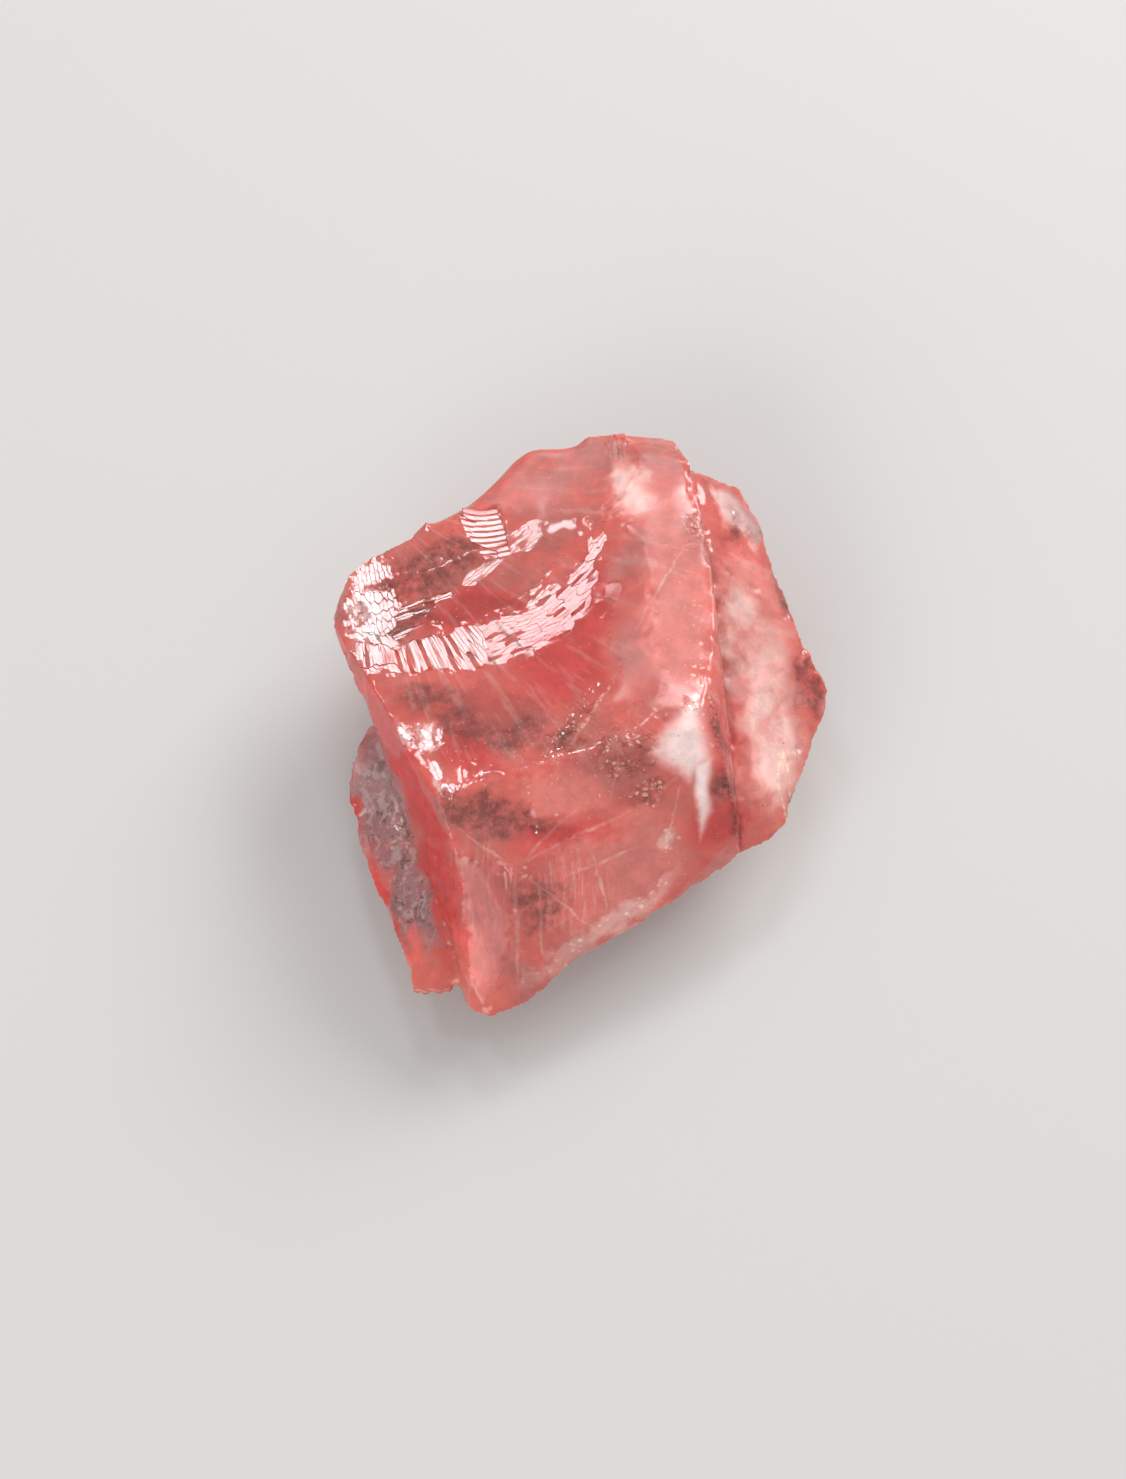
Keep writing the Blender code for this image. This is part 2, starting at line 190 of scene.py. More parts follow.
# Glints: centre, half sizes, turn, sliver size along and across, window, jitter of its slope.
GLINTS = [
    ((-19.2, 11.2), (4.4, 2.1), 100.0, (1.0, 0.40), RIGHT, 0.024),
    ((-20.3, 8.2), (3.0, 1.2), 105.0, (0.8, 0.36), RIGHT, 0.030),
    ((-18.6, 6.4), (2.8, 1.5), 112.0, (1.2, 0.34), RIGHT, 0.030),
    ((-15.2, 9.4), (3.0, 0.6), 24.0, (2.0, 0.22), RIGHT, 0.06),
    ((-15.6, 7.6), (2.6, 0.4), 28.0, (2.0, 0.22), RIGHT, 0.06),
    ((-14.5, -3.0), (1.9, 1.3), -35.0, (0.9, 0.6), RIGHT, 0.02),
    ((-13.4, -3.4), (1.4, 1.2), -35.0, (0.4, 0.3), RIGHT, 0.08),
    ((-12.6, -6.2), (1.0, 0.4), -60.0, (0.9, 0.5), RIGHT, 0.02),
    ((-11.2, -8.2), (1.4, 0.9), -60.0, (0.9, 0.5), RIGHT, 0.02),
    ((-10.0, -7.4), (1.9, 0.5), 32.0, (1.0, 0.4), RIGHT, 0.05),
    ((-5.0, 16.1), (2.2, 1.2), 35.0, (0.9, 0.3), LEFT, 0.024),
    ((-7.9, 13.9), (4.2, 0.5), 38.0, (1.4, 0.3), LEFT, 0.024),
    ((-3.4, 12.6), (1.6, 0.4), 45.0, (1.0, 0.4), LEFT, 0.08),
    ((2.4, 9.9), (1.8, 0.8), 50.0, (4.0, 3.0), LEFT, 0.01),
    ((10.2, 16.6), (1.3, 0.9), -60.0, (0.5, 0.35), RIGHT, 0.20),
    ((9.9, 14.6), (0.8, 0.25), 0.0, (1.6, 0.8), RIGHT, 0.02),
    ((-1.7, -2.9), (4.2, 0.6), 58.0, (0.3, 0.22), RIGHT, 0.12),
    ((3.7, -4.6), (2.6, 1.3), 15.0, (0.34, 0.26), RIGHT, 0.26),
    ((5.6, -7.2), (1.6, 0.8), -45.0, (0.34, 0.26), RIGHT, 0.26),
    ((9.2, -0.6), (1.0, 0.6), 100.0, (0.5, 0.3), RIGHT, 0.14),
    ((3.2, 25.2), (1.2, 0.9), 90.0, (1.4, 0.3), LEFT, 0.15),
    ((9.4, 24.2), (1.6, 0.7), -50.0, (0.9, 0.4), RIGHT, 0.20),
    ((-5.4, -14.2), (1.4, 0.5), 10.0, (0.5, 0.3), RIGHT, 0.08),
    ((7.6, -11.3), (0.9, 0.6), 30.0, (0.4, 0.3), RIGHT, 0.08),
    ((-0.8, -9.4), (1.3, 0.4), 25.0, (0.5, 0.3), RIGHT, 0.08),
]


def welded(mesh):
    """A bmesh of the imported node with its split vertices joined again."""
    shape = bmesh.new()
    shape.from_mesh(mesh)
    bmesh.ops.remove_doubles(shape, verts=shape.verts, dist=MERGE)
    bmesh.ops.dissolve_degenerate(shape, edges=shape.edges, dist=SHORTEST)
    return shape


def is_crease(edge):
    """Whether two fractures meet there. The solid's own ribs of the fan don't count."""
    if len(edge.link_faces) != 2 or edge.calc_face_angle() < CREASE_ANGLE:
        return False
    middle = (edge.verts[0].co + edge.verts[1].co) / (2 * MM)
    return middle.z < RIB_FAN_FLOOR or math.dist(middle[:2], RIB_FAN) > RIB_FAN_REACH


def crease_tree(shape):
    """A search tree of points along every crease."""
    points = []
    for edge in filter(is_crease, shape.edges):
        a, b = (corner.co for corner in edge.verts)
        steps = max(1, math.ceil((b - a).length / (CREASE_STEP * MM)))
        points += [a.lerp(b, i / steps) for i in range(steps + 1)]
    tree = kdtree.KDTree(len(points))
    for i, point in enumerate(points):
        tree.insert(point, i)
    tree.balance()
    return tree


def evaluated(thing):
    """A new mesh of an object with its modifiers applied."""
    seen = thing.evaluated_get(bpy.context.evaluated_depsgraph_get())
    return bpy.data.meshes.new_from_object(seen)


def remeshed(shape):
    """The node's surface on an even grid of small quads."""
    mesh = bpy.data.meshes.new("coarse")
    shape.to_mesh(mesh)
    coarse = add("coarse", mesh)
    remesh = coarse.modifiers.new("even", "REMESH")
    remesh.mode = "VOXEL"
    remesh.voxel_size = GRID * MM
    remesh.adaptivity = 0.0
    fine = evaluated(coarse)
    bpy.data.objects.remove(coarse)
    return fine


def read_vectors(collection, key):
    flat = np.zeros(len(collection) * 3)
    collection.foreach_get(key, flat)
    return flat.reshape(-1, 3)


def edge_array(mesh):
    flat = np.zeros(len(mesh.edges) * 2, np.int64)
    mesh.edges.foreach_get("vertices", flat)
    return flat.reshape(-1, 2)


def relaxed(points, edges, freedom):
    """Evens out the facets of the solid without moving its creases."""
    a, b = edges.T
    count = len(points)
    links = np.bincount(a, minlength=count) + np.bincount(b, minlength=count)
    points = points.copy()
    for _ in range(RELAX_ROUNDS):
        for axis in range(3):
            x = points[:, axis]
            mean = (np.bincount(a, x[b], count) + np.bincount(b, x[a], count)) / links
            points[:, axis] = x + RELAX_STEP * freedom * (mean - x)
    return points


def smoothstep(x, low, high):
    t = np.clip((x - low) / (high - low), 0.0, 1.0)
    return t * t * (3.0 - 2.0 * t)


def lattice_noise(points, grain, seed):
    """Smooth noise from -1 to 1, of that grain."""
    table = np.random.default_rng(seed).uniform(-1.0, 1.0, NOISE_TABLE)
    cells = points / grain
    corner = np.floor(cells).astype(np.int64)
    t = cells - corner
    t = t * t * (3.0 - 2.0 * t)
    total = np.zeros(len(points))
    for step in itertools.product((0, 1), repeat=3):
        key = ((corner + step) * NOISE_PRIMES).sum(axis=1) % NOISE_TABLE
        total += np.where(step, t, 1.0 - t).prod(axis=1) * table[key]
    return total


def layered_noise(points, grain, seed, layers=3):
    """Noise with finer and fainter noise laid on it."""
    return sum(lattice_noise(points, grain / 2**i, seed + i) / 2**i for i in range(layers))


def stray(points, amount, grain, seed, layers=3):
    """How far an uneven place strays at each point."""
    return amount * layered_noise(points, grain, seed, layers)


def normals_of(points, mesh):
    """The vertex normals of the mesh with its vertices at these points."""
    mesh.vertices.foreach_set("co", (points * MM).ravel())
    mesh.update()
    return read_vectors(mesh.vertices, "normal")


def window_place(name):
    return Vector(WINDOWS[name][0]).normalized() * WINDOW_AWAY


def mirror_slope(point, window):
    """The slope of a face that mirrors a window to the camera: its normal's sideways part over its
    upward part."""
    point = Vector(point)
    half = (window_place(window) - point).normalized() + (CAMERA - point).normalized()
    return np.array(half[:2]) / half[2]


def polar(points, blow):
    """How far each point is from the blow, seen from above, and its bearing in degrees."""
    away = points[:, :2] - np.array(blow)
    return np.hypot(*away.T), np.degrees(np.arctan2(away[:, 1], away[:, 0]))


def ripples(points, blow, span, bearings, spacing, height, seed):
    """Rings round a blow, between two radii and two bearings."""
    r, bearing = polar(points, blow)
    near, far = span
    turned = (bearing - bearings[0]) % 360.0
    width = (bearings[1] - bearings[0]) % 360.0
    inside = smoothstep(r, near, near + spacing) * (1.0 - smoothstep(r, far - spacing, far))
    inside = inside * smoothstep(turned, 0.0, RING_FADE)
    inside = inside * (1.0 - smoothstep(turned, width - RING_FADE, width))
    phase = r / spacing + RING_STRAY * lattice_noise(points, RING_GRAIN * spacing, seed)
    return height * inside * np.cos(2.0 * np.pi * phase)


def cell_keys(along, across, pitch, seed):
    """Which ragged cell of that size each point is in."""
    rng = np.random.default_rng(seed)
    shift = rng.uniform(CELL_MARGIN, 1.0 - CELL_MARGIN, (CELL_TABLE, 2))
    place = np.stack((along / pitch[0], across / pitch[1]), axis=1)
    home = np.floor(place).astype(np.int64)
    keys = np.zeros(len(place), np.int64)
    nearest = np.full(len(place), np.inf)
    for step in itertools.product((-1, 0, 1), repeat=2):
        cell = home + step
        key = (cell * NOISE_PRIMES[:2]).sum(axis=1) % CELL_TABLE
        away = ((cell + shift[key] - place) ** 2).sum(axis=1)
        keys = np.where(away < nearest, key, keys)
        nearest = np.minimum(nearest, away)
    return keys


def striae(points, centre, size, turn, spacing, height, seed):
    """Fine ridges that run one way, inside a soft ellipse."""
    away = points[:, :2] - np.array(centre)
    inside = 1.0 - smoothstep(np.hypot(*(away / np.array(size)).T), *STRIAE_FADE)
    c, s = math.cos(math.radians(turn)), math.sin(math.radians(turn))
    across = away @ np.array((-s, c))
    phase = across / spacing + STRIAE_STRAY * lattice_noise(points, STRIAE_GRAIN, seed)
    strength = np.maximum(0.0, STRIAE_SHOWN + lattice_noise(points, SHOWN_GRAIN, seed + 1))
    return height * inside * strength * np.cos(2.0 * np.pi * phase)


def slivers(points, normals, inside, along, across, pitch, window, jitter, seed):
    """A patch breaks into slivers that all mirror one window, with small steps between.

    along and across are each point's place in the patch, and pitch is the size of a sliver in
    those two directions. Returns how far each point rises.
    """
    rng = np.random.default_rng(seed)
    height = np.zeros(len(points))
    chosen = np.flatnonzero(inside)
    keys = cell_keys(along[chosen], across[chosen], pitch, seed)
    order = np.argsort(keys, kind="stable")
    for cell in np.split(chosen[order], np.flatnonzero(np.diff(keys[order])) + 1):
        if len(cell) == 0:
            continue
        here = points[cell]
        middle = here.mean(axis=0)
        misses = jitter > NO_MISS and rng.random() < MISSED
        missed = MISS_TILT * rng.choice((-1.0, 1.0), 2) if misses else 0.0
        wanted = mirror_slope(middle, window) + rng.uniform(-jitter, jitter, 2) + missed
        natural = normals[cell].mean(axis=0)
        if natural[2] < FACES_UP or np.hypot(*(natural[:2] / natural[2] - wanted)) > STEEPEST:
            continue
        plane = np.array((*wanted, 1.0))
        rise = (middle - here) @ plane / (normals[cell] @ plane)
        height[cell] = np.clip(rise, -DEEPEST, DEEPEST)
    return height


def patch(points, centre, size, turn, seed):
    """Whether a point is in a ragged ellipse seen from above, and its place along and across it."""
    away = points[:, :2] - np.array(centre)
    c, s = math.cos(math.radians(turn)), math.sin(math.radians(turn))
    along = away @ np.array((c, s))
    across = away @ np.array((-s, c))
    out = np.hypot(along / size[0], across / size[1])
    near = np.flatnonzero(out < 1.0 + 2.0 * RAGGED)
    inside = np.zeros(len(points), bool)
    inside[near] = out[near] < 1.0 + stray(points[near], RAGGED, RAGGED_GRAIN, seed)
    return inside, along, across


def strip_place(points):
    """Whether a point is in the bright arc round the great blow, its place outward and its bearing."""
    r, bearing = polar(points, GREAT_BLOW)
    inner = np.interp(bearing, STRIP_BEARINGS, STRIP_INNER)
    outer = np.interp(bearing, STRIP_BEARINGS, STRIP_OUTER)
    inside = r > inner + stray(points, *STRIP_INNER_STRAY)
    inside &= r < outer + stray(points, *STRIP_OUTER_STRAY)
    inside &= (bearing > STRIP_BEARINGS[0]) & (bearing < STRIP_BEARINGS[-1])
    return inside, r - inner, bearing


def hackle_strip(points, normals, up):
    """The bright arc, broken into radial slivers, and the swell outside it."""
    inside, outward, bearing = strip_place(points)
    inside &= up
    right = inside & (bearing > STRIP_PARTING + stray(points, *STRIP_PARTING_STRAY, layers=1))
    round_blow = np.radians(bearing) * STRIP_RADIUS
    lift = slivers(points, normals, right, outward, round_blow, *STRIP_RIGHT_SLIVERS)
    from_source, source_bearing = polar(points, HACKLE_SOURCE)
    round_source = np.radians(source_bearing) * HACKLE_RADIUS
    left = inside & ~right
    lift += slivers(points, normals, left, from_source, round_source, *STRIP_LEFT_SLIVERS)
    r = polar(points, GREAT_BLOW)[0]
    turn = smoothstep(bearing, *SWELL_STARTS) * (1.0 - smoothstep(bearing, *SWELL_ENDS))
    swell = np.interp(r, SWELL_RADII, SWELL_HEIGHTS) * turn
    return lift + np.where(up & ~inside, swell, 0.0)


def pale_lean(points):
    """How far up the pale face each point is, 0 off that face."""
    x, y = points[:, 0], points[:, 1]
    on_face = smoothstep(x, *PALE_LEFT) * (1.0 - smoothstep(x, *PALE_RIGHT))
    on_face = on_face * smoothstep(y, *PALE_NEAR) * (1.0 - smoothstep(y, *PALE_FAR))
    return on_face * (y - PALE_MIDDLE)


def fan_place(points):
    """Whether a point is in the fan of ribs, and its place out from and round the fan's blow."""
    r, bearing = polar(points, FAN_BLOW)
    outward = (r - FAN_RADII[0]) / (FAN_RADII[1] - FAN_RADII[0])
    left = FAN_LEFT[0] + FAN_LEFT[1] * outward
    right = FAN_RIGHT[0] + FAN_RIGHT[1] * outward
    inside = (outward > 0.0) & (outward < 1.0) & (bearing > left) & (bearing < right)
    return inside, r + stray(points, *FAN_STRAY, layers=1), np.radians(bearing) * FAN_RADIUS


def in_glint(points):
    """Whether a point is where a fracture broke into slivers that catch a window."""
    inside = strip_place(points)[0] | fan_place(points)[0]
    for n, (centre, size, turn, *_) in enumerate(GLINTS):
        inside |= patch(points, centre, size, turn, OUTLINE_SEED + n)[0]
    return inside


def split_under_glints(mesh):
    """Finer faces where the glints go."""
    shape = bmesh.new()
    shape.from_mesh(mesh)
    for _ in range(SPLITS):
        shape.faces.ensure_lookup_table()
        centres = np.array([face.calc_center_median() for face in shape.faces]) / MM
        upward = np.array([face.normal.z for face in shape.faces]) > FACES_UP
        chosen = [shape.faces[i] for i in np.flatnonzero(in_glint(centres) & upward)]
        edges = {edge for face in chosen for edge in face.edges}
        bmesh.ops.subdivide_edges(shape, edges=list(edges), cuts=1, use_grid_fill=True)
    shape.to_mesh(mesh)
    shape.free()


def fan_ribs(points, normals, up):
    """How far the slivers of the fan rise, how deep its grooves are and where it is."""
    inside, along, across = fan_place(points)
    inside &= up
    lift = slivers(points, normals, inside, along, across, *FAN_SLIVERS)
    groove = np.maximum(0.0, 1.0 - np.abs(along / FAN_RIB % 1.0 - 0.5) / GROOVE_SHARE)
    return lift, np.where(inside, GROOVE_DEPTH * groove, 0.0), inside


def chips(points, reach):
    """How deep the chipped edges are at each point."""
    near = np.exp(-((reach / CHIP_REACH) ** 2))
    bite = np.maximum(0.0, layered_noise(points, CHIP_GRAIN, CHIP_SEED) - CHIP_LEAST)
    return CHIP_DEPTH * near * bite


def with_relief(points, mesh, reach):
    """Lays the fine relief on the relaxed faces."""
    normals = normals_of(points, mesh)
    up = normals[:, 2] > FACES_UP
    lift = stray(points, *SKIN_STRAY)
    for ring in RIPPLES:
        lift += ripples(points, *ring) * up
    for ridges in STRIAE:
        lift += striae(points, *ridges) * up
    lift += hackle_strip(points, normals, up)
    lift += PALE_LEAN * pale_lean(points) * up
    ribs, grooves, taken = fan_ribs(points, normals, up)
    lift += ribs
    lift -= grooves
    taken |= strip_place(points)[0]
    for n, (centre, size, turn, *kind) in enumerate(GLINTS):
        inside, along, across = patch(points, centre, size, turn, OUTLINE_SEED + n)
        inside &= up & ~taken
        taken |= inside
        lift += slivers(points, normals, inside, along, across, *kind, SLIVER_SEED + n)
    lift -= chips(points, reach)
    lift[points[:, 2] < BASE_TOP] = 0.0
    moved = points + normals * lift[:, None]
    moved[:, 2] = np.maximum(moved[:, 2], 0.0)
    return moved


def reaches(points, tree):
    """How far each point is from the nearest crease."""
    return np.array([tree.find(point * MM)[2] for point in points]) / MM


def thin_out(skin):
    """Takes the stone down to its budget of triangles."""
    triangles = sum(len(face.vertices) - 2 for face in skin.data.polygons)
    thin = skin.modifiers.new("thin", "DECIMATE")
    thin.ratio = TRIANGLE_BUDGET / triangles
    skin.data = evaluated(skin)
    skin.modifiers.clear()
    skin.data.name = "stone"


def flatten_glints(mesh):
    """Shades the glints facet by facet."""
    centres = read_vectors(mesh.polygons, "center") / MM
    upward = read_vectors(mesh.polygons, "normal")[:, 2] > FLAT_UP
    mesh.polygons.foreach_set("use_smooth", ~(in_glint(centres) & upward))


def make_skin():
    shape = welded(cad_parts[NODE].data)
    tree = crease_tree(shape)
    mesh = remeshed(shape)
    shape.free()
    points = read_vectors(mesh.vertices, "co") / MM
    freedom = smoothstep(reaches(points, tree), CREASE_NEAR, CREASE_FAR)
    points = relaxed(points, edge_array(mesh), freedom)
    normals_of(points, mesh)
    split_under_glints(mesh)
    points = read_vectors(mesh.vertices, "co") / MM
    points = with_relief(points, mesh, reaches(points, tree))
    mesh.vertices.foreach_set("co", (points * MM).ravel())
    mesh.shade_smooth()
    skin = add("stone", mesh)
    thin_out(skin)
    flatten_glints(skin.data)
    return skin


# --- the material -----------------------------------------------------------------------------
# Colours, linear.
CORAL = (0.84, 0.200, 0.165, 1.0)
DEEP_RED = (0.74, 0.085, 0.080, 1.0)
DUSK = (0.480, 0.085, 0.075, 1.0)
BRIGHT_RED = (0.95, 0.085, 0.080, 1.0)
ASH = (0.64, 0.450, 0.440, 1.0)
NEAR = (0.76, 0.190, 0.160, 1.0)
VEIL_WHITE = (0.90, 0.760, 0.740, 1.0)
DUSTY = (0.66, 0.210, 0.180, 1.0)
MILK = (0.85, 0.600, 0.550, 1.0)
SMOKE = (0.430, 0.150, 0.130, 1.0)
DARK = (0.260, 0.075, 0.075, 1.0)
MAUVE = (0.600, 0.330, 0.340, 1.0)
PLUM = (0.200, 0.100, 0.120, 1.0)
RUST = (0.560, 0.120, 0.085, 1.0)
TIP_RED = (1.00, 0.270, 0.210, 1.0)
STRAW = (0.95, 0.800, 0.560, 1.0)
GLARE_WHITE = (1.00, 0.860, 0.850, 1.0)
CREAM = (1.00, 0.660, 0.540, 1.0)

# What each mask lays on the stone: a tint, and how much of it where the mask is full.
COATS = {
    "dusty": (DUSTY, 0.90),
    "near": (NEAR, 0.85),
    "red": (DEEP_RED, 0.85),
    "dusk": (DUSK, 0.55),
    "milk": (MILK, 0.90),
    "smoke": (SMOKE, 0.80),
    "ash": (ASH, 0.80),
    "shelf": (MAUVE, 0.60),
    "shelf_spots": (PLUM, 0.80),
    "shelf_wisps": (VEIL_WHITE, 0.70),
    "tip": (TIP_RED, 0.80),
    # A painted glow: brighter red where light would shine through the thin edges.
    "painted_glow": (BRIGHT_RED, 0.85),
    # The veil: a milky patch that is partly a painted reflection.
    "veil_and_sheen": (VEIL_WHITE, 0.92),
    # Pale cracks, partly painted highlights along ridges.
    "cracks": (MILK, 0.55),
    # A painted highlight: whiter glare laid on the corner and crest glints.
    "painted_glare": (GLARE_WHITE, 0.60),
    # A painted highlight along the low ridge.
    "ridge_highlight": (CREAM, 0.80),
    # Painted shade in the crease under the wall.
    "painted_crease_shade": (DARK, 0.90),
    "loop": (STRAW, 0.85),
    "fissures": (DARK, 0.85),
    "crust": (RUST, 0.80),
    "crust_spots": (DARK, 0.85),
    "bevel": (MILK, 0.50),
    # Pale flakes, partly painted sparkle.
    "flakes_and_sparkle": (CREAM, 0.95),
    "scratches": (CREAM, 0.60),
    # Painted sparkle.
    "painted_sparkle_dots": (CREAM, 0.75),
    "dark_dots": (DARK, 0.90),
    "streaks": (MILK, 0.35),
    "fans": (MILK, 0.22),
}
# Noises: how many grains there are to a millimetre, layers of detail and roughness.
NOISES = {
    "drift": (0.35, 3.0, 0.55),
    "cloud": (0.18, 5.0, 0.6),
    "puffs": (0.30, 4.0, 0.5),
    "speckle": (0.9, 6.0, 0.7),
    "wisps": (0.9, 6.0, 0.7),
    "grain": (3.6, 3.0, 0.7),
    "streaks": (1.0, 4.0, 0.6),
    "rays": (1.0, 3.0, 0.6),
    "grit": (0.7, 8.0, 0.7),
}
# Cells: how many there are to a millimetre.
FLAKE_CELLS = 1.6
SCRATCH_CELLS = 1.3
DOT_CELLS = 2.4
# How many times finer a noise or its cells are along x, y and z.
WISP_FINER = (1.0, 0.45, 1.0)
FLAKE_FINER = (1.0, 1.5, 1.0)
SCRATCH_FINER = (0.9, 3.0, 1.0)
STREAK_FINER = (2.8, 0.25, 0.4)
# Masks: the value where each starts and the value where it's full.
LIMITS = {
    "zone": (0.0, 0.63),
    "cloud": (0.42, 0.62),
    "puffs": (0.20, 0.66),
    "mottle": (0.30, 0.72),
    "ragged": (0.40, 0.56),
    "shelf_spots": (0.52, 0.36),
    "shelf_wisps": (0.50, 0.58),
    "broken": (0.42, 0.58),
    "loop": (0.20, 0.045),
    "crust_spots": (0.52, 0.44),
    "flake": (0.50, 0.22),
    "flake_kept": (0.50, 0.56),
    "flake_grain": (0.34, 0.50),
    "scratch": (0.20, 0.08),
    "scratch_kept": (0.66, 0.70),
    "dot": (0.24, 0.10),
    "painted_sparkle_dots": (0.62, 0.66),
    "dark_dots": (0.030, 0.026),
    "streaks": (0.46, 0.70),
    "fans": (0.52, 0.68),
    "fans_far": (-8.0, -4.0),
}
WARP = 4.5  # how many times further the edges of zones drift than lines do
RAYS_ROUND = 26.0  # how fine the rays are round their source, in grains a radian
RAYS_OUT = 0.16  # and along their length, in grains a millimetre
GRIT = (0.30, 0.70, 0.84, 1.08)  # the noise's limits, and how dark and bright it makes the stone
VEIL_AND_SHEEN_SOFT = 0.9  # how soft the edge of the veil is
TAIL_SOFT = 0.5
SHELF_SMOKE = 0.5  # how smoky the shelf is beside the smoky patches

IOR = 1.56
# The share of transmission and the roughness, from their least to their most.
TRANSMISSION = (0.10, 0.70)
ROUGHNESS = (0.05, 0.34)
SCATTER_RADIUS = (1.0, 0.32, 0.28)
SCATTER_DEPTH = 0.002  # m
ABSORB_COLOUR = (0.95, 0.40, 0.36, 1.0)
ABSORB_DENSITY = 110.0  # a metre
BUMP_STRENGTH = 0.6
BUMP_DEPTH = 0.000012  # m
BUMP_GRAIN = 0.25  # how much the grain counts beside the rays

REACH = 1.35  # how many times its half sizes a soft ellipsoid reaches
LINE_WIDTH = 1.6  # how many times wider a line's ellipsoid is than the line
LINE_HEIGHT = 60.0  # so high that lines show on faces of any height
